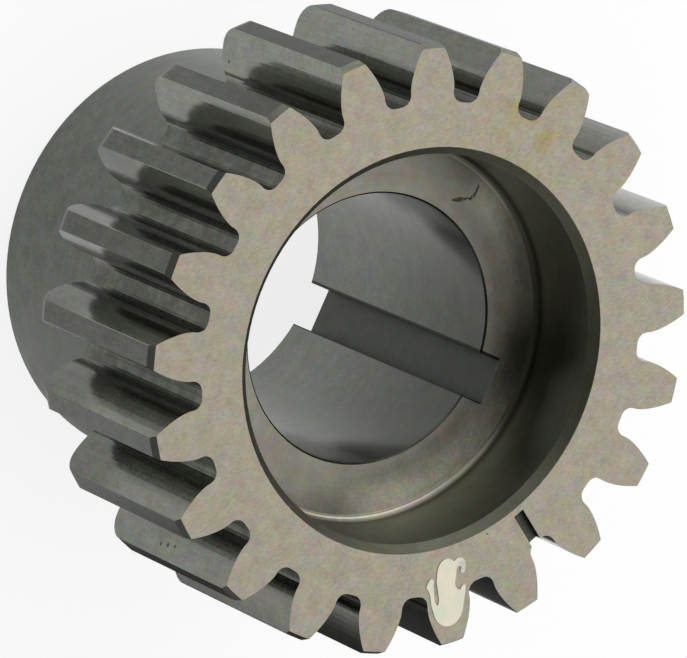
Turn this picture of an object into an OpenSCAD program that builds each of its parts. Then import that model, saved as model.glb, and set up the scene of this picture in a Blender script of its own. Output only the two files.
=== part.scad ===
// Spur pinion with an integral hub, a stepped nut recess, a tapered keyed bore and a timing slot.
// The pinion stands on the hub's end, toothed end up, with its axis on Z and the keyway towards +X.

/* [Teeth] */
// Number of teeth
teeth = 21; // [17:1:36]
// Module: pitch diameter divided by the number of teeth, mm
module_mm = 1.5875; // [1.5:0.0125:2.4]
// Pressure angle of the involute, degrees
pressure_angle = 20; // [17:0.5:22]
// Height of a tooth above the pitch circle, in modules
addendum_ratio = 1.0; // [0.85:0.01:1.05]
// Depth of a gap below the pitch circle, in modules
dedendum_ratio = 1.157; // [1.1:0.001:1.25]
// Thickness of a tooth along the pitch circle, in modules
thickness_ratio = 1.64; // [1.45:0.01:1.65]
// Radius where a flank runs out into the gap's floor, in modules
root_fillet_ratio = 0.41; // [0.25:0.01:0.42]
// Length of the toothed part along the axis, mm
face_width = 13.75; // [10:0.25:20]
// Length along the axis of the bevel on each tooth tip at the face, mm
tip_bevel_length = 0.5; // [0.2:0.05:1]
// Depth of that bevel below the tip, mm
tip_bevel_depth = 0.24; // [0.1:0.02:0.5]
// Radius that rounds each tooth tip at the hub end, mm
tip_end_radius = 1.0; // [0.4:0.05:1.4]
// Radius of the edge between a flank and the tip, mm
tip_edge_radius = 0.15; // [0.05:0.01:0.25]
// Turn of the tooth next to the keyway, from the keyway's centre line, degrees
tooth_phase = -4.56; // [-8.5:0.01:8.5]

/* [Hub] */
// Outside diameter of the plain hub, mm
hub_diameter = 25.56; // [22.5:0.02:28]
// Whole length of the pinion, hub and teeth together, mm
overall_length = 27.85; // [22:0.05:40]
// Bevel on the hub's outer edge at its free end, mm
hub_bevel = 0.3; // [0.1:0.05:0.6]
// Radius in the corner between the hub and the back of the teeth, mm
shoulder_fillet = 0.4; // [0.2:0.05:0.8]

/* [Nut recess] */
// Diameter of the recess in the toothed end, mm
recess_diameter = 23.34; // [21:0.02:24]
// Depth of the recess, from the face to its ledge, mm
recess_depth = 6.3; // [3:0.1:9]
// Bevel at the mouth of the recess, mm
recess_bevel = 0.51; // [0.2:0.01:0.7]
// Radius in the corner between the recess's wall and its ledge, mm
recess_fillet = 0.4; // [0.2:0.05:0.8]

/* [Bore and keyway] */
// Diameter of the tapered bore at its small end, on the ledge, mm
bore_diameter = 16.26; // [14:0.02:17]
// Length over which the tapered bore widens by one unit of diameter
taper_ratio = 11.5; // [10:0.1:20]
// Bevel at the small end of the bore, mm
bore_bevel = 0.12; // [0.05:0.01:0.3]
// Bevel at the large end of the bore, mm
bore_end_bevel = 0.2; // [0.05:0.05:0.4]
// Width of the keyway, mm
key_width = 2.75; // [2:0.05:3.5]
// Depth of the keyway below the bore's wall, at the middle of its width, mm
key_depth = 1.4; // [0.8:0.05:1.6]

/* [Timing slot] */
// Width of the radial slot in the face, mm
slot_width = 0.72; // [0.4:0.02:1]
// Depth of the slot, mm
slot_depth = 0.45; // [0.2:0.05:0.9]
// Plain rim left between the slot and the mouth of the recess, mm
slot_rim = 0.36; // [0.2:0.02:0.8]
// Number of tooth pitches from the keyway's tooth to the slot's gap
slot_pitches = -1.5; // [-5.5:1:5.5]
// Sideways shift of the slot from the middle of its gap, mm
slot_shift = -0.15; // [-0.3:0.05:0.3]

/* [Hidden] */
steel = [0.36, 0.37, 0.35];
$fn = 96;
// Extra length that takes a cut clear of the surface it opens, mm
clear = 1;
// Points along each flank, and the power that brings them closer together towards the base circle
flank_points = 9;
flank_spacing = 1.5;
// Points along each rounded corner, and along the smaller rounding of an edge
corner_points = 5;
edge_points = 3;
// Share of the edge's radius by which its rounding runs on past the tip, so the trim meets it at a slope
edge_overrun = 0.15;

pitch_angle = 360 / teeth;
pitch_radius = module_mm * teeth / 2;
base_radius = pitch_radius * cos(pressure_angle);
tip_radius = pitch_radius + addendum_ratio * module_mm;
root_radius = pitch_radius - dedendum_ratio * module_mm;
root_fillet = root_fillet_ratio * module_mm;
thickness_angle = deg(thickness_ratio * module_mm / pitch_radius);

hub_radius = hub_diameter / 2;
teeth_z = overall_length - face_width;
ledge_z = overall_length - recess_depth;
recess_radius = recess_diameter / 2;
mouth_radius = recess_radius + recess_bevel;
bore_radius = bore_diameter / 2;
bore_end_radius = tapered(bore_radius, 0);
key_radius = bore_radius + key_depth;

function deg(radians) = radians * 180 / PI;
function polar(radius, angle) = [radius * cos(angle), radius * sin(angle)];
function involute(angle) = deg(tan(angle)) - angle;
function roll(radius) = acos(min(1, base_radius / radius));
// Radius at height z of a wall that has the given radius on the ledge and follows the bore's taper
function tapered(radius, z) = radius + (ledge_z - z) / (2 * taper_ratio);
// Half of a gap's angle at a radius on the involute
function gap_angle(radius) =
    (pitch_angle - thickness_angle) / 2 - involute(pressure_angle) + involute(roll(radius));
// Points of an arc about a centre
function arc(centre, radius, from, to, points = corner_points) =
    [for (i = [0 : points]) centre + polar(radius, from + (to - from) * i / points)];

// One side of a gap, from the middle of its floor to beyond the tips
function gap_side() =
    let (
        side = gap_angle(base_radius),
        fillet_centre = root_radius + root_fillet,
        turn = asin(root_fillet / fillet_centre),
        edge_centre = tip_radius - tip_edge_radius * (1 - edge_overrun),
        slope = roll(edge_centre),
        edge_angle = gap_angle(edge_centre) + deg(tip_edge_radius / (edge_centre * cos(slope))),
        last = edge_centre + tip_edge_radius * sin(slope)
    )
    concat(
        arc(polar(fillet_centre, side - turn), root_fillet, side - turn + 180, side + 90),
        [for (i = [0 : flank_points - 1])
            let (radius = base_radius + (last - base_radius) * pow(i / flank_points, flank_spacing))
            polar(radius, gap_angle(radius))],
        arc(polar(edge_centre, edge_angle), tip_edge_radius, edge_angle - 90 + slope, edge_angle, edge_points),
        [polar(tip_radius + clear, edge_angle)]
    );

function turned(point, angle) =
    [point.x * cos(angle) - point.y * sin(angle), point.x * sin(angle) + point.y * cos(angle)];
function mirrored(points) = [for (i = [len(points) - 1 : -1 : 0]) [points[i].x, -points[i].y]];

// The turned outline, hub end first, then the teeth's end, the recess and the bore
function blank_outline() =
    concat(
        [[bore_end_radius + bore_end_bevel, 0],
         [hub_radius - hub_bevel, 0],
         [hub_radius, hub_bevel]],
        arc([hub_radius + shoulder_fillet, teeth_z - shoulder_fillet], shoulder_fillet, 180, 90),
        arc([tip_radius - tip_end_radius, teeth_z + tip_end_radius], tip_end_radius, -90, 0),
        [[tip_radius, overall_length - tip_bevel_length],
         [tip_radius - tip_bevel_depth, overall_length],
         [mouth_radius, overall_length],
         [recess_radius, overall_length - recess_bevel]],
        arc([recess_radius - recess_fillet, ledge_z + recess_fillet], recess_fillet, 0, -90),
        [[bore_radius + bore_bevel, ledge_z],
         [tapered(bore_radius, ledge_z - bore_bevel), ledge_z - bore_bevel],
         [tapered(bore_radius, bore_end_bevel), bore_end_bevel]]
    );

module blank() {
    rotate_extrude()
        polygon(blank_outline());
}

// The toothed outline: every gap in turn, with the tips left long for the blank to trim
function toothed_outline() =
    let (
        side = gap_side(),
        gap = concat(mirrored(side), side)
    )
    [for (i = [0 : teeth - 1], point = gap)
        turned(point, tooth_phase + (i + 0.5) * pitch_angle)];

module toothed_blank() {
    intersection() {
        blank();
        translate([0, 0, -clear])
            linear_extrude(overall_length + 2 * clear)
                polygon(toothed_outline());
    }
}

// The keyway's floor follows the bore's taper, so the key keeps its depth
module keyway() {
    top = ledge_z + clear;
    rotate([90, 0, 0])
        linear_extrude(key_width, center = true)
            polygon([
                [0, -clear],
                [tapered(key_radius, -clear), -clear],
                [tapered(key_radius, top), top],
                [0, top]
            ]);
}

module timing_slot() {
    inner = mouth_radius + slot_rim;
    rotate(tooth_phase + slot_pitches * pitch_angle)
        translate([inner, slot_shift - slot_width / 2, overall_length - slot_depth])
            cube([root_radius + clear - inner, slot_width, slot_depth + clear]);
}

module pinion_gear() {
    color(steel)
        difference() {
            toothed_blank();
            keyway();
            timing_slot();
        }
}

pinion_gear();
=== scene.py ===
import math

import bpy
from mathutils import Matrix, Vector


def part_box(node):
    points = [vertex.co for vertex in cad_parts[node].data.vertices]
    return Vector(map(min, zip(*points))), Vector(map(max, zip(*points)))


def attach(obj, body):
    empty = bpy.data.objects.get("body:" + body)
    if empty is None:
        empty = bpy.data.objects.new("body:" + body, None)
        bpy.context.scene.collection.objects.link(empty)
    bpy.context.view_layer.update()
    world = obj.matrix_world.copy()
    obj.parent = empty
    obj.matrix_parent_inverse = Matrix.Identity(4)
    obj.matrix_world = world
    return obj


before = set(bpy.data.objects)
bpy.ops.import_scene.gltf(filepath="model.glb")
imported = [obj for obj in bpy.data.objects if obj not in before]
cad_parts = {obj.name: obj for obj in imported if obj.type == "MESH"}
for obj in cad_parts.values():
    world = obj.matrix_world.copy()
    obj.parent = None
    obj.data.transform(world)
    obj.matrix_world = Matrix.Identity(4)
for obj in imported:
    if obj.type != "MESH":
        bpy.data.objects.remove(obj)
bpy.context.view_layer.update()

GEAR = "pinion_gear"
MM_PER_M = 1000.0

# The gear's own sizes in millimetres: heights above the hub's end, radii about the axis, bevels, the length over
# which the bore's diameter grows by one unit, the keyway's width, the turn of the first tooth in degrees, and the
# timing slot's place, as pitches from that tooth and a shift sideways
FACE_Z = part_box(GEAR)[1].z * MM_PER_M
LEDGE_Z = FACE_Z - 6.3
TEETH_Z = FACE_Z - 13.75
MOUTH_BEVEL = 0.51
RECESS_R = 11.67
MOUTH_R = RECESS_R + MOUTH_BEVEL
BORE_R = 8.13
BORE_TAPER = 11.5
BORE_BEVEL = 0.12
GAP_FLOOR_R = 14.83
TIP_R = 18.26
KEY_WIDTH = 2.75
TEETH = 21
TOOTH_TURN = -4.56
SLOT_PITCHES = -1.5
SLOT_SHIFT = -0.15
SLOT_TURN = math.radians(TOOTH_TURN + SLOT_PITCHES * 360 / TEETH)

# How far a zone of one finish reaches past its faces, so that none of them falls outside it
SLACK = 0.02
MARGIN = 0.05

# Where one finish gives way to another: a place in millimetres, and the width over which the two blend. The
# keyway's is a distance outward from the bore's wall.
GAP_SIDE_R = (GAP_FLOOR_R + 0.4, 0.5)
GAP_BLOTCHES_R = (GAP_FLOOR_R + 0.3, 0.2)
TIP_ZONE_R = (TIP_R - 0.3, 0.1)
SOFT_FLANK_X = (-1.0, 4.0)
SOFT_FLANK_Y = (-9.0, 4.0)
REAR_FLANK_X = (-7.5, 3.0)
REAR_FLANK_Y = (6.0, 8.0)
REAR_FLANK_Z = (TEETH_Z + 5.5, 4.0)
LIT_BEVEL_Y = (9.0, 6.0)
SHADED_WALL_Z = (FACE_Z - 4.2, 3.0)
LOW_WALL_Y = (-5.0, 6.0)
LEDGE_TOP_Z = (LEDGE_Z + 0.12, 0.1)
LIT_LEDGE_R = (9.9, 2.2)
CORNER_R = (RECESS_R - 0.32, 0.2)
CORNER_Z = (LEDGE_Z + 0.7, 0.6)
LIT_CORNER_Z = (LEDGE_Z + 0.30, 0.16)
KEY_EDGE_END = (1.42, 0.1)

# The same for how far a surface faces outward or upward, where 1 is straight out or up
TIP_FACES_OUT = (0.8, 0.1)
BEVEL_FACES_OUT = (0.5, 0.1)
BEVEL_FACES_UP = (0.3, 0.1)
BACK_FACES_UP = (-0.5, 0.3)

# Other limits of zones: the bore's radius, the depth at which the painted shade at the bore's top has faded out,
# the dark lines along the keyway's two edges as ranges of Y with their blur, and the slot's inner end, half of its
# width and its bottom
BORE_ZONE_R = RECESS_R - 0.3
BORE_FADE = 19.0
KEY_LINE_UPPER = (KEY_WIDTH / 2 - 0.08, KEY_WIDTH / 2 + 0.16, 0.05)
KEY_LINE_LOWER = (-KEY_WIDTH / 2 - 0.07, -KEY_WIDTH / 2 + 0.03, 0.05)
SLOT_START_R = MOUTH_R + 0.2
SLOT_HALF_WIDTH = 0.4
SLOT_BOTTOM_Z = FACE_Z - 0.5

# Patches in the recess where light or shade is painted into the colour: a direction from the axis, and how far
# round towards it, as a cosine, a patch starts and is at full strength
LIT_LEDGE_LOWER = ((0.83, -0.56, 0.0), 0.75, 0.97)
LIT_LEDGE_UPPER = ((0.68, 0.73, 0.0), 0.84, 0.97)
LIT_CORNER = ((0.50, -0.87, 0.0), 0.55, 0.85)
SHADED_WALL = ((1.0, 0.0, 0.0), 0.86, 0.99)

# Tool marks: their depth in metres, the turned lines in a millimetre and how fast they change round the axis,
# the length of a hobbed line's and a grinding line's grain along X, Y and Z, and the direction of grinding
MARK_DEPTH = 0.000002
TURNED_LINES = 9.0
TURNED_CHANGE = 2.5
HOBBED_GRAIN = (0.12, 0.12, 2.5)
GROUND_GRAIN = (0.42, 0.09, 1.0)
GRINDING_TURN = math.radians(45)

# Noises, each as its scale in a millimetre, its detail and its roughness
CLOUDS = (0.9, 4.0, 0.6)
SPECKS = (5.0, 3.0, 0.6)
GAP_BLOTCHES = (0.8, 5.0, 0.65)
HUES = (1.1, 4.0, 0.65)
STAIN_RAGGED = (0.8, 3.0, 0.5)
HAIRLINE_WANDER = (2.2, 3.0, 0.5)
PAINT_TINTS = (0.9, 3.0, 0.6)
PAINT_THINNING = (4.0, 2.0, 0.5)
PAINT_SHEEN = (1.6, 3.0, 0.5)
PAINT_LUMPS = (4.0, 3.0, 0.5)

# How a noise is used: the low and the high value that it is cut off at and, where it doesn't make a mask, what
# it becomes at these two
BLOTCH_SHADES = (0.40, 0.62, 0.78, 1.20)
RAGGED_RANGE = (0.42, 0.62)
TINT_RANGE = (0.42, 0.60)
THINNING_SHARES = (0.35, 0.6, 0.2, 0.9)
SHEEN_ROUGHNESS = (0.3, 0.7, 0.55, 0.4)

# What clouds and specks take of a finish's mottling, what specks do to the roughness and the height, and how
# deep a pit is next to a tool mark
CLOUD_SHARE = 0.6
SPECK_SHARE = 0.9
SPECK_ROUGHNESS = 0.05
SPECK_HEIGHT = 0.5
PIT_HEIGHT = 12.0

# How far the hue of the bare metal wanders: the spread and the lowest of a factor on red, green and blue
HUE_SPREAD = (0.50, 0.50, 0.76)
HUE_LOWEST = (0.75, 0.75, 0.62)

# Single marks that the photograph shows, in millimetres: a hairline on the ledge, half of its width and the width
# in which it wanders, pits in two flanks and a nick in the face with their radii, what light these marks leave,
# and the middle, radius and blur of the yellow stain on the face, with its colour
HAIRLINE = [(1.90, 9.00), (2.95, 9.45), (3.14, 9.85), (3.12, 10.45)]
HAIRLINE_HALF_WIDTH = 0.07
HAIRLINE_DRIFT = 0.5
PITS = [(-6.18, -16.41, 19.75, 0.11), (-6.19, -16.31, 20.52, 0.14), (-6.19, -16.21, 21.29, 0.10),
        (-12.06, 11.10, 14.85, 0.11), (9.27, -8.31, 27.85, 0.05)]
MARK_SHADE = 0.3
STAIN = ((0.4, 14.6, 27.85), 2.6, 4.0)
STAIN_COLOUR = (1.0, 0.93, 0.66)

# The dab of paint on the toothed face: its colours, how far its middle plane stands above the face as a share of
# its thickness, the middle, radius and blur of the place where it is thin, and its outline from above, with all
# lengths in millimetres
PAINT_GREENISH = (0.62, 0.63, 0.51)
PAINT_REDDISH = (0.70, 0.64, 0.51)
PAINT_THIN = (0.45, 0.48, 0.45)
DAB_RISE = 0.4
DAB_THICKNESS = 0.07
DAB_THIN = ((8.55, -10.60, 27.9), 0.42, 0.4)
DAB_OUTLINE = [
    (7.21, -11.82), (7.07, -11.42), (7.05, -10.98), (7.22, -10.67), (7.53, -10.52), (7.87, -10.53),
    (7.98, -10.34), (8.25, -10.19), (8.57, -10.29), (8.75, -10.58), (8.75, -10.96), (8.59, -10.94),
    (8.50, -10.70), (8.33, -10.63), (8.23, -10.79), (8.34, -11.17), (8.45, -11.49), (8.58, -11.79),
    (8.83, -11.96), (9.08, -11.91), (9.10, -11.68), (9.21, -11.56), (9.38, -11.77), (9.50, -12.12),
    (9.63, -12.52), (9.78, -12.98), (9.81, -13.45), (9.65, -13.89), (9.27, -14.20), (8.77, -14.26),
    (8.32, -14.09), (7.93, -13.75), (7.57, -13.36), (7.32, -13.00), (7.02, -12.72), (6.82, -12.60),
    (6.81, -12.34), (6.87, -12.07), (7.02, -12.05), (7.19, -12.34), (7.39, -12.65), (7.62, -13.02),
    (7.85, -13.28), (8.03, -13.32), (8.03, -13.09), (7.79, -12.71), (7.53, -12.35), (7.34, -12.09),
]

# The camera, solved from the photograph: where it stands, the point on the toothed face that it looks at, the
# direction that is up in the picture, its lens and sensor, and the nearest and farthest that it sees
CAMERA_AT = Vector((-0.266908, -0.003720, 0.423494))
CAMERA_TARGET = Vector((-0.005765, -0.000657, 0.02785))
CAMERA_UP = Vector((-0.335617, 0.917271, -0.214421))
CAMERA_LENS_MM = 429.46
CAMERA_SENSOR_MM = 36.0
CAMERA_RANGE = (0.01, 20.0)

# The floor: its radius in metres, its corners, its own grey and what it glows with in the picture
FLOOR_RADIUS = 3.0
FLOOR_CORNERS = 96
FLOOR_GREY = 0.17
FLOOR_GLOW = 0.82

# The studio: the level at which the white surround lights the gear, the lamps' distance and size in metres,
# and the height at which screens lie over the floor
SURROUND_LEVEL = 0.8
SOFTBOX_DISTANCE = 0.9
SOFTBOX_SIZE = 0.6
SCREEN_LIFT = 0.0002


def rgb(red, green, blue):
    return (red, green, blue, 1.0)


class Nodes:
    """Adds nodes to one material. A value is a number, a tuple or another node's output."""

    def __init__(self, name):
        self.material = bpy.data.materials.new(name)
        self.material.use_nodes = True
        self.tree = self.material.node_tree
        self.shader = self.tree.nodes["Principled BSDF"]

    def put(self, socket, value):
        if isinstance(value, bpy.types.NodeSocket):
            self.tree.links.new(value, socket)
        else:
            socket.default_value = value

    def shade(self, name, value):
        """Sets an input of the material's shader"""
        self.put(self.shader.inputs[name], value)

    def add(self, kind, settings=None, **inputs):
        node = self.tree.nodes.new("ShaderNode" + kind)
        for name, value in (settings or {}).items():
            setattr(node, name, value)
        for name, value in inputs.items():
            self.put(node.inputs[name], value)
        return node

    def math(self, operation, *values):
        node = self.add("Math", {"operation": operation})
        for socket, value in zip(node.inputs, values):
            self.put(socket, value)
        return node.outputs[0]

    def vector_math(self, operation, *values):
        node = self.add("VectorMath", {"operation": operation})
        for socket, value in zip(node.inputs, values):
            self.put(socket, value)
        return node.outputs["Value" if operation in ("DOT_PRODUCT", "LENGTH", "DISTANCE") else "Vector"]

    def vector(self, x, y, z):
        return self.add("CombineXYZ", X=x, Y=y, Z=z).outputs[0]

    def parts(self, vector):
        return self.add("SeparateXYZ", Vector=vector).outputs

    def scaled(self, vector, factor):
        node = self.add("VectorMath", {"operation": "SCALE"}, Vector=vector, Scale=factor)
        return node.outputs["Vector"]

    def stretched(self, vector, turn, sizes):
        """Coordinates turned about Z in which one unit is sizes long"""
        node = self.add("Mapping", {"vector_type": "TEXTURE"}, Vector=vector, Rotation=(0, 0, turn), Scale=sizes)
        return node.outputs[0]

    def ramp(self, value, low, high, to_low=0.0, to_high=1.0):
        """A smooth step from to_low at low to to_high at high"""
        node = self.add("MapRange", {"interpolation_type": "SMOOTHSTEP"})
        for name, number in (("Value", value), ("From Min", low), ("From Max", high),
                             ("To Min", to_low), ("To Max", to_high)):
            self.put(node.inputs[name], number)
        return node.outputs["Result"]

    def centred(self, value):
        """A noise value from -1 to 1"""
        return self.ramp(value, 0.25, 0.75, -1.0, 1.0)

    def above(self, value, edge, blur=0.02):
        return self.ramp(value, edge - blur / 2, edge + blur / 2)

    def below(self, value, edge, blur=0.02):
        return self.ramp(value, edge - blur / 2, edge + blur / 2, 1.0, 0.0)

    def between(self, value, low, high, blur=0.02):
        return self.both(self.above(value, low, blur), self.below(value, high, blur))

    def both(self, *masks):
        """The part that all the masks share"""
        whole = masks[0]
        for mask in masks[1:]:
            whole = self.math("MULTIPLY", whole, mask)
        return whole

    def either(self, *masks):
        """The whole that the masks cover together"""
        whole = masks[0]
        for mask in masks[1:]:
            whole = self.math("MAXIMUM", whole, mask)
        return whole

    def near_point(self, place, point, radius, blur=0.1):
        return self.below(self.vector_math("DISTANCE", place, point), radius, blur)

    def near_line(self, place, start, end, radius, blur=0.06):
        along = Vector(end) - Vector(start)
        from_start = self.vector_math("SUBTRACT", place, start)
        reached = self.vector_math("DOT_PRODUCT", from_start, tuple(along))
        share = self.math("DIVIDE", reached, along.length_squared)
        share.node.use_clamp = True
        nearest = self.scaled(tuple(along), share)
        return self.below(self.vector_math("DISTANCE", from_start, nearest), radius, blur)

    def noise(self, vector, scale, detail=2.0, roughness=0.5, output="Fac"):
        node = self.add("TexNoise", Vector=vector, Scale=scale, Detail=detail, Roughness=roughness)
        return node.outputs[output]

    def mix(self, share, low, high):
        """A number or a colour between two others"""
        is_number = isinstance(low, (int, float)) or getattr(low, "type", None) == "VALUE"
        kind = "VALUE" if is_number else "RGBA"
        node = self.add("Mix", {"data_type": "FLOAT" if is_number else "RGBA"})
        for name, its_kind, value in (("Factor", "VALUE", share), ("A", kind, low), ("B", kind, high)):
            self.put(next(s for s in node.inputs if s.name == name and s.type == its_kind), value)
        return next(s for s in node.outputs if s.type == kind)

    def bump(self, height, depth):
        node = self.add("Bump", Height=height, Strength=1.0, Distance=depth)
        self.shade("Normal", node.outputs["Normal"])


class GearNodes(Nodes):
    """Nodes that know where on the gear they are, in millimetres, and how far the surface faces out and up"""

    def __init__(self, name):
        super().__init__(name)
        coordinates = self.add("TexCoord")
        self.place = self.scaled(coordinates.outputs["Object"], MM_PER_M)
        self.x, self.y, self.z = self.parts(self.place)
        flat = self.vector(self.x, self.y, 0.0)
        self.radius = self.vector_math("LENGTH", flat)
        self.outward = self.vector_math("NORMALIZE", flat)
        normal = coordinates.outputs["Normal"]
        self.facing_out = self.vector_math("DOT_PRODUCT", normal, self.outward)
        self.facing_up = self.parts(normal)[2]
        self.on_face = self.above(self.z, FACE_Z - SLACK)
        self.toothed = self.both(self.above(self.z, TEETH_Z - SLACK / 2),
                                 self.above(self.radius, GAP_FLOOR_R - 2 * MARGIN))

    def towards(self, direction, start, full):
        return self.ramp(self.vector_math("DOT_PRODUCT", self.outward, direction), start, full)


class Finish:
    """How one kind of surface looks: the colour that its bare metal shows, its roughness, how strongly its
    tool marks and its mottling show, and how much of its gloss at a low angle is left"""

    def __init__(self, colour, roughness, marks, mottle, low_gloss=1.0):
        self.values = (rgb(*colour), roughness, marks, mottle, low_gloss)


GROUND = Finish((0.305, 0.278, 0.219), 0.38, 0.10, 0.12)
MOUTH = Finish((0.108, 0.108, 0.081), 0.46, 0.10, 0.10)
LEDGE = Finish((0.250, 0.240, 0.199), 0.46, 0.05, 0.14)
# Painted light on the outer part of the ledge, in two patches
LEDGE_PAINTED_LIGHT = Finish((0.760, 0.730, 0.613), 0.48, 0.05, 0.14)
# Painted shade in the corner at the foot of the recess's wall, and painted light in one patch of it towards -Y
FILLET_SHADE = Finish((0.105, 0.106, 0.084), 0.42, 0.06, 0.10)
FILLET_LIT = Finish((0.300, 0.288, 0.238), 0.42, 0.06, 0.10)
WALL = Finish((0.215, 0.226, 0.180), 0.42, 0.08, 0.08, 0.80)
# Painted shade on the upper part of the recess's wall on the +X side
WALL_PAINTED_SHADE = Finish((0.105, 0.112, 0.086), 0.42, 0.08, 0.08, 0.80)
# Painted shade on the recess's wall on the -Y side, with less gloss at a low angle
WALL_LOW_SHADE = Finish((0.128, 0.137, 0.106), 0.42, 0.08, 0.08, 0.61)
BORE = Finish((0.149, 0.155, 0.139), 0.22, 0.03, 0.14)
# Painted shade at the top of the bore, next to the ledge, fading out deeper down
BORE_TOP_SHADE = Finish((0.070, 0.073, 0.064), 0.22, 0.03, 0.14)
BORE_EDGE = Finish((0.065, 0.066, 0.054), 0.30, 0.10, 0.10)
KEY_EDGE = Finish((0.022, 0.023, 0.020), 0.40, 0.10, 0.10)
KEYWAY = Finish((0.056, 0.060, 0.052), 0.40, 0.06, 0.16)
SLOT = Finish((0.075, 0.077, 0.060), 0.50, 0.10, 0.20)
HUB = Finish((0.099, 0.106, 0.092), 0.34, 0.05, 0.20)
FLANK = Finish((0.200, 0.207, 0.181), 0.16, 0.08, 0.14)
FLANK_SOFT = Finish((0.190, 0.196, 0.170), 0.28, 0.08, 0.16)
# Painted shade on the rear ends of the flanks on the -X side
FLANK_REAR_SHADE = Finish((0.140, 0.144, 0.127), 0.16, 0.08, 0.14, 0.80)
GAP = Finish((0.085, 0.089, 0.074), 0.28, 0.03, 0.20)
TIP = Finish((0.080, 0.083, 0.072), 0.30, 0.10, 0.22)
TIP_BEVEL = Finish((0.045, 0.047, 0.040), 0.30, 0.10, 0.10)
TIP_BEVEL_LIT = Finish((0.190, 0.194, 0.160), 0.30, 0.10, 0.16)


def tooth_zones(n):
    tip_zone = n.both(n.toothed, n.above(n.radius, *TIP_ZONE_R))
    bevel = n.both(tip_zone, n.above(n.facing_up, *BEVEL_FACES_UP), n.above(n.facing_out, *BEVEL_FACES_OUT))
    rear = n.both(n.below(n.z, *REAR_FLANK_Z), n.below(n.y, *REAR_FLANK_Y), n.below(n.x, *REAR_FLANK_X))
    return [
        (n.toothed, FLANK),
        (n.both(n.toothed, n.below(n.y, *SOFT_FLANK_Y), n.below(n.x, *SOFT_FLANK_X)), FLANK_SOFT),
        # Painted shade at the flanks' rear ends
        (n.both(n.toothed, rear), FLANK_REAR_SHADE),
        (n.both(n.toothed, n.below(n.radius, *GAP_SIDE_R)), GAP),
        (n.both(tip_zone, n.above(n.facing_out, *TIP_FACES_OUT)), TIP),
        (bevel, TIP_BEVEL),
        (n.both(bevel, n.above(n.y, *LIT_BEVEL_Y)), TIP_BEVEL_LIT),
        (n.both(n.toothed, n.below(n.facing_up, *BACK_FACES_UP)), HUB),
    ]


def recess_zones(n):
    recess = n.both(n.below(n.radius, MOUTH_R + MARGIN), n.above(n.z, LEDGE_Z - SLACK))
    corner = n.both(recess, n.above(n.radius, *CORNER_R), n.below(n.z, *CORNER_Z))
    # The two patches on the ledge's outer part where light is painted
    lit_ledge = n.both(n.either(n.towards(*LIT_LEDGE_LOWER), n.towards(*LIT_LEDGE_UPPER)), n.above(n.radius, *LIT_LEDGE_R))
    return [
        (recess, WALL),
        # Painted shade on the wall's upper part towards +X
        (n.both(recess, n.above(n.z, *SHADED_WALL_Z), n.towards(*SHADED_WALL)), WALL_PAINTED_SHADE),
        # Painted shade on the wall's -Y side
        (n.both(recess, n.below(n.y, *LOW_WALL_Y)), WALL_LOW_SHADE),
        (n.both(recess, n.below(n.radius, RECESS_R + MARGIN), n.below(n.z, *LEDGE_TOP_Z)), LEDGE),
        (n.both(recess, n.below(n.z, LEDGE_Z + MARGIN), lit_ledge), LEDGE_PAINTED_LIGHT),
        # Painted shade in the corner, with painted light in one patch of it
        (corner, FILLET_SHADE),
        (n.both(corner, n.below(n.z, *LIT_CORNER_Z), n.towards(*LIT_CORNER)), FILLET_LIT),
        (n.both(recess, n.above(n.z, FACE_Z - MOUTH_BEVEL + SLACK / 2)), MOUTH),
    ]


def bore_zones(n):
    bore = n.both(n.below(n.radius, BORE_ZONE_R), n.below(n.z, LEDGE_Z - SLACK))
    widening = n.math("MULTIPLY", n.math("SUBTRACT", LEDGE_Z, n.z), 0.5 / BORE_TAPER)
    past_wall = n.math("SUBTRACT", n.radius, n.math("ADD", widening, BORE_R + 2 * SLACK))
    key_side = n.above(n.x, 0.0)
    beside_key = n.math("SUBTRACT", n.math("ABSOLUTE", n.y), KEY_WIDTH / 2)
    in_keyway = n.both(bore, n.above(past_wall, 0.0), key_side, n.below(beside_key, MARGIN))
    key_lines = n.math("ADD", n.between(n.y, *KEY_LINE_UPPER), n.between(n.y, *KEY_LINE_LOWER))
    key_edges = n.both(key_side, n.below(n.z, LEDGE_Z + SLACK), n.below(past_wall, *KEY_EDGE_END), key_lines)
    return [
        (bore, BORE),
        # Painted shade at the bore's top
        (n.both(bore, n.ramp(n.z, LEDGE_Z - BORE_FADE, LEDGE_Z)), BORE_TOP_SHADE),
        (n.both(bore, n.above(n.z, LEDGE_Z - BORE_BEVEL - SLACK / 2)), BORE_EDGE),
        (in_keyway, KEYWAY),
        (key_edges, KEY_EDGE),
    ]


def face_zones(n):
    slot_x, slot_y, _ = n.parts(n.stretched(n.place, SLOT_TURN, (1.0, 1.0, 1.0)))
    from_middle = n.math("ABSOLUTE", n.math("SUBTRACT", slot_y, SLOT_SHIFT))
    slot = n.both(n.above(slot_x, SLOT_START_R), n.below(from_middle, SLOT_HALF_WIDTH), n.above(n.z, SLOT_BOTTOM_Z))
    return [(slot, SLOT), (n.on_face, GROUND)]


def tool_lines(n):
    """Lines turned round the axis, lines hobbed along the teeth, and straight grinding on the face"""
    round_x, round_y, _ = n.parts(n.scaled(n.outward, TURNED_CHANGE))
    across = n.math("MULTIPLY", n.math("ADD", n.radius, n.z), TURNED_LINES)
    turned = n.noise(n.vector(across, round_x, round_y), 1.0)
    hobbed = n.noise(n.stretched(n.place, 0.0, HOBBED_GRAIN), 1.0)
    ground = n.noise(n.stretched(n.place, GRINDING_TURN, GROUND_GRAIN), 1.0)
    return n.mix(n.on_face, n.mix(n.toothed, turned, hobbed), ground)


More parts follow.
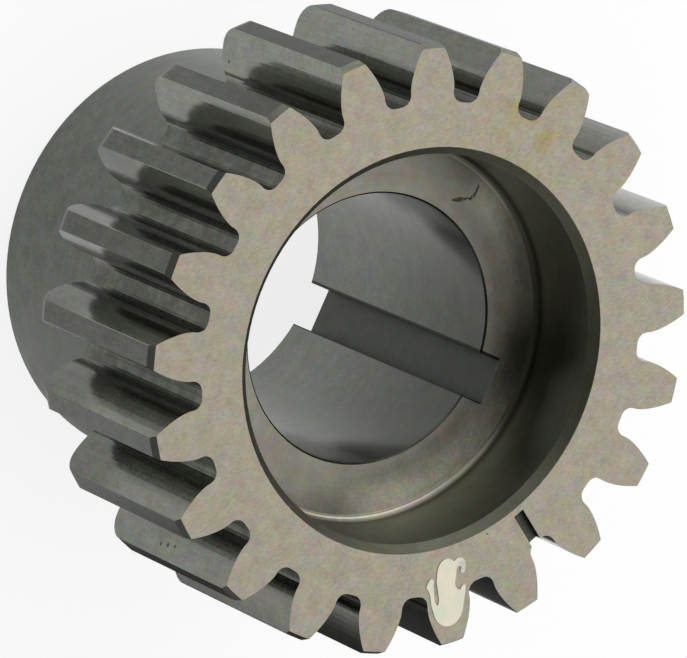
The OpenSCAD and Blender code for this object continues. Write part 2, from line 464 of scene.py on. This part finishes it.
def unevenness(n, lines, specks, marks, mottle):
    """The factor by which tool marks, mottling and the blotches in the gaps make the metal lighter or darker"""
    clouds = n.centred(n.noise(n.place, *CLOUDS))
    tone = n.math("ADD", 1.0, n.math("MULTIPLY", n.centred(lines), marks))
    for pattern, share in ((clouds, CLOUD_SHARE), (n.centred(specks), SPECK_SHARE)):
        tone = n.math("ADD", tone, n.math("MULTIPLY", pattern, n.math("MULTIPLY", mottle, share)))
    blotches = n.ramp(n.noise(n.place, *GAP_BLOTCHES), *BLOTCH_SHADES)
    in_gap = n.both(n.toothed, n.below(n.radius, *GAP_BLOTCHES_R), n.below(n.z, FACE_Z - MARGIN))
    return n.math("MULTIPLY", tone, n.mix(in_gap, 1.0, blotches))


def stained(n, colour):
    """The colour with faint changes of hue and the yellow stain on the face"""
    hues = n.noise(n.place, *HUES, output="Color")
    colour = n.vector_math("MULTIPLY", colour, n.vector_math("MULTIPLY_ADD", hues, HUE_SPREAD, HUE_LOWEST))
    ragged = n.ramp(n.noise(n.place, *STAIN_RAGGED), *RAGGED_RANGE)
    stain = n.both(n.near_point(n.place, *STAIN), ragged, n.on_face)
    return n.vector_math("MULTIPLY", colour, n.mix(stain, rgb(1, 1, 1), rgb(*STAIN_COLOUR)))


def single_marks(n):
    """A mask of the hairline, which wanders a little off its straight runs, and of the pits and the nick"""
    wander = n.noise(n.place, *HAIRLINE_WANDER, output="Color")
    wander = n.vector_math("MULTIPLY_ADD", wander, (HAIRLINE_DRIFT,) * 3, (-HAIRLINE_DRIFT / 2,) * 3)
    place = n.vector_math("ADD", n.place, wander)
    runs = [n.near_line(place, (*start, LEDGE_Z), (*end, LEDGE_Z), HAIRLINE_HALF_WIDTH)
            for start, end in zip(HAIRLINE, HAIRLINE[1:])]
    pits = [n.near_point(n.place, (x, y, z), radius) for x, y, z, radius in PITS]
    return n.either(*runs, *pits)


def gear_steel():
    n = GearNodes("gear_steel")
    values = HUB.values
    for mask, finish in tooth_zones(n) + recess_zones(n) + bore_zones(n) + face_zones(n):
        values = [n.mix(mask, low, high) for low, high in zip(values, finish.values)]
    colour, roughness, marks, mottle, low_gloss = values

    lines = tool_lines(n)
    specks = n.noise(n.place, *SPECKS)
    dark = single_marks(n)
    colour = stained(n, n.scaled(colour, unevenness(n, lines, specks, marks, mottle)))
    n.shade("Metallic", 1.0)
    n.shade("Specular Tint", n.vector(low_gloss, low_gloss, low_gloss))
    n.shade("Base Color", n.scaled(colour, n.ramp(dark, 0.0, 1.0, 1.0, MARK_SHADE)))
    n.shade("Roughness", n.math("ADD", roughness, n.math("MULTIPLY", n.centred(specks), SPECK_ROUGHNESS)))
    height = n.math("ADD", lines, n.math("MULTIPLY", specks, SPECK_HEIGHT))
    n.bump(n.math("SUBTRACT", height, n.math("MULTIPLY", dark, PIT_HEIGHT)), MARK_DEPTH)
    return n.material


def paint():
    """Old white paint, greenish in places and reddish in others, and greyer where it is thin"""
    n = Nodes("paint")
    place = n.scaled(n.add("TexCoord").outputs["Object"], MM_PER_M)
    tint = n.ramp(n.noise(place, *PAINT_TINTS), *TINT_RANGE)
    colour = n.mix(tint, rgb(*PAINT_GREENISH), rgb(*PAINT_REDDISH))
    thin = n.both(n.near_point(place, *DAB_THIN), n.ramp(n.noise(place, *PAINT_THINNING), *THINNING_SHARES))
    n.shade("Base Color", n.mix(thin, colour, rgb(*PAINT_THIN)))
    n.shade("Roughness", n.ramp(n.noise(place, *PAINT_SHEEN), *SHEEN_ROUGHNESS))
    n.bump(n.noise(place, *PAINT_LUMPS), 2 * MARK_DEPTH)
    return n.material


def add_object(name, data):
    thing = bpy.data.objects.new(name, data)
    bpy.context.scene.collection.objects.link(thing)
    return thing


def add_paint_dab():
    """The dab of paint on one tooth: a flat curve through listed points, with a rounded rim"""
    curve = bpy.data.curves.new("paint_dab", "CURVE")
    curve.dimensions = "2D"
    curve.fill_mode = "BOTH"
    curve.resolution_u = 6
    curve.extrude = DAB_THICKNESS / 4
    curve.bevel_depth = DAB_THICKNESS / 4
    curve.bevel_resolution = 3
    outline = curve.splines.new("BEZIER")
    outline.use_cyclic_u = True
    outline.bezier_points.add(len(DAB_OUTLINE) - 1)
    for point, (x, y) in zip(outline.bezier_points, DAB_OUTLINE):
        point.co = (x, y, 0.0)
        point.handle_left_type = point.handle_right_type = "AUTO"
    drawn = add_object("paint_outline", curve)
    mesh = bpy.data.meshes.new_from_object(drawn.evaluated_get(bpy.context.evaluated_depsgraph_get()))
    bpy.data.objects.remove(drawn)
    middle_z = FACE_Z + DAB_THICKNESS * DAB_RISE
    mesh.transform(Matrix.Scale(1 / MM_PER_M, 4) @ Matrix.Translation((0, 0, middle_z)))
    dab = add_object("paint_dab", mesh)
    mesh.materials.clear()
    mesh.materials.append(paint())
    for face in mesh.polygons:
        face.use_smooth = True
    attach(dab, "root")


def add_camera():
    data = bpy.data.cameras.new("camera")
    data.lens = CAMERA_LENS_MM
    data.sensor_width = CAMERA_SENSOR_MM
    data.clip_start, data.clip_end = CAMERA_RANGE
    camera = add_object("camera", data)
    back = (CAMERA_AT - CAMERA_TARGET).normalized()
    right = CAMERA_UP.cross(back).normalized()
    up = back.cross(right)
    camera.matrix_world = Matrix.Translation(CAMERA_AT) @ Matrix((right, up, back)).transposed().to_4x4()
    bpy.context.scene.camera = camera


def facing(away, distance):
    """The place and turn of a thing that stands off in a direction and faces the gear"""
    away = Vector(away).normalized()
    return Matrix.Translation(away * distance) @ away.to_track_quat("Z", "Y").to_matrix().to_4x4()


def lying(x, y, turn):
    """The place and turn, in degrees, of a screen that lies on the floor"""
    return Matrix.Translation((x, y, SCREEN_LIFT)) @ Matrix.Rotation(math.radians(turn), 4, "Z")


def add_softbox(name, away, level):
    """A square lamp at a plain level: at 1 it shows as white in a mirror"""
    data = bpy.data.lights.new(name, "AREA")
    data.shape = "SQUARE"
    data.size = SOFTBOX_SIZE
    data.energy = level * math.pi * SOFTBOX_SIZE * SOFTBOX_SIZE
    add_object(name, data).matrix_world = facing(away, SOFTBOX_DISTANCE)


def flat_mesh(name, corners):
    mesh = bpy.data.meshes.new(name)
    mesh.from_pydata([(x, y, 0) for x, y in corners], [], [range(len(corners))])
    return mesh


def matte(name, grey, glow):
    """The nodes of a matte material that also glows white by itself"""
    n = Nodes(name)
    n.shade("Base Color", rgb(grey, grey, grey))
    n.shade("Roughness", 1.0)
    n.shade("Specular IOR Level", 0.0)
    n.shade("Emission Color", rgb(1, 1, 1))
    n.shade("Emission Strength", glow)
    return n


def add_screen(name, turn, width, height, level, edge_level=None, blend=0.0):
    """A screen of one level that only reflections show. Its lower edge may blend from a level of its own."""
    w, h = width / 2, height / 2
    mesh = flat_mesh(name, [(-w, -h), (w, -h), (w, h), (-w, h)])
    screen = add_object(name, mesh)
    screen.matrix_world = turn
    n = matte(name, 0.0, level)
    if blend:
        height_on_screen = n.parts(n.add("TexCoord").outputs["Object"])[1]
        n.shade("Emission Strength", n.ramp(height_on_screen, -h, blend - h, edge_level, level))
    mesh.materials.append(n.material)
    screen.visible_camera = screen.visible_diffuse = screen.visible_shadow = False


def seen_ray(tree, seen, otherwise):
    """One strength for the camera and for what gloss and glass show, and another for all other light"""
    path = tree.nodes.new("ShaderNodeLightPath")
    total = path.outputs["Is Camera Ray"]
    for name in ("Is Glossy Ray", "Is Transmission Ray"):
        either = tree.nodes.new("ShaderNodeMath")
        either.operation = "MAXIMUM"
        tree.links.new(total, either.inputs[0])
        tree.links.new(path.outputs[name], either.inputs[1])
        total = either.outputs[0]
    choose = tree.nodes.new("ShaderNodeMapRange")
    choose.inputs["To Min"].default_value = otherwise
    choose.inputs["To Max"].default_value = seen
    tree.links.new(total, choose.inputs["Value"])
    return choose.outputs["Result"]


def light_world():
    """A white surround, which lights the gear at a level of its own"""
    world = bpy.data.worlds.new("world")
    world.use_nodes = True
    tree = world.node_tree
    background = tree.nodes["Background"]
    background.inputs["Color"].default_value = rgb(1, 1, 1)
    tree.links.new(seen_ray(tree, 1.0, SURROUND_LEVEL), background.inputs["Strength"])
    bpy.context.scene.world = world


def add_floor():
    turns = [2 * math.pi * i / FLOOR_CORNERS for i in range(FLOOR_CORNERS)]
    mesh = flat_mesh("floor", [(FLOOR_RADIUS * math.cos(t), FLOOR_RADIUS * math.sin(t)) for t in turns])
    floor = add_object("floor", mesh)
    n = matte("floor_white", FLOOR_GREY, 0.0)
    n.shade("Emission Strength", seen_ray(n.tree, FLOOR_GLOW, 0.0))
    mesh.materials.append(n.material)


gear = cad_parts[GEAR]
gear.material_slots[0].material = gear_steel()

add_paint_dab()

add_camera()
add_floor()
light_world()
add_softbox("key", (0.12, 0.72, 0.68), 2.4)
add_softbox("fill", (0.53, 0.14, 0.83), 0.45)
add_screen("dark_screen", facing((-0.46, -0.26, 0.85), 1.2), 2.2, 2.2, 0.10)
add_screen("dim_screen", facing((0.0, -0.95, 0.3), 1.5), 2.6, 1.6, 0.70)
# Sheets on the floor that only reflections show: painted shadow of the floor beside the gear, darker on its -Y side
# than on its +Y side
add_screen("floor_painted_shadow", lying(0.015, -0.040, -100), 0.05, 0.066, 0.07, 0.90, 0.021)
add_screen("floor_painted_shade", lying(-0.007, 0.040, 90), 0.038, 0.05, 0.66, 0.95, 0.012)
bpy.context.scene.view_settings.view_transform = "Standard"
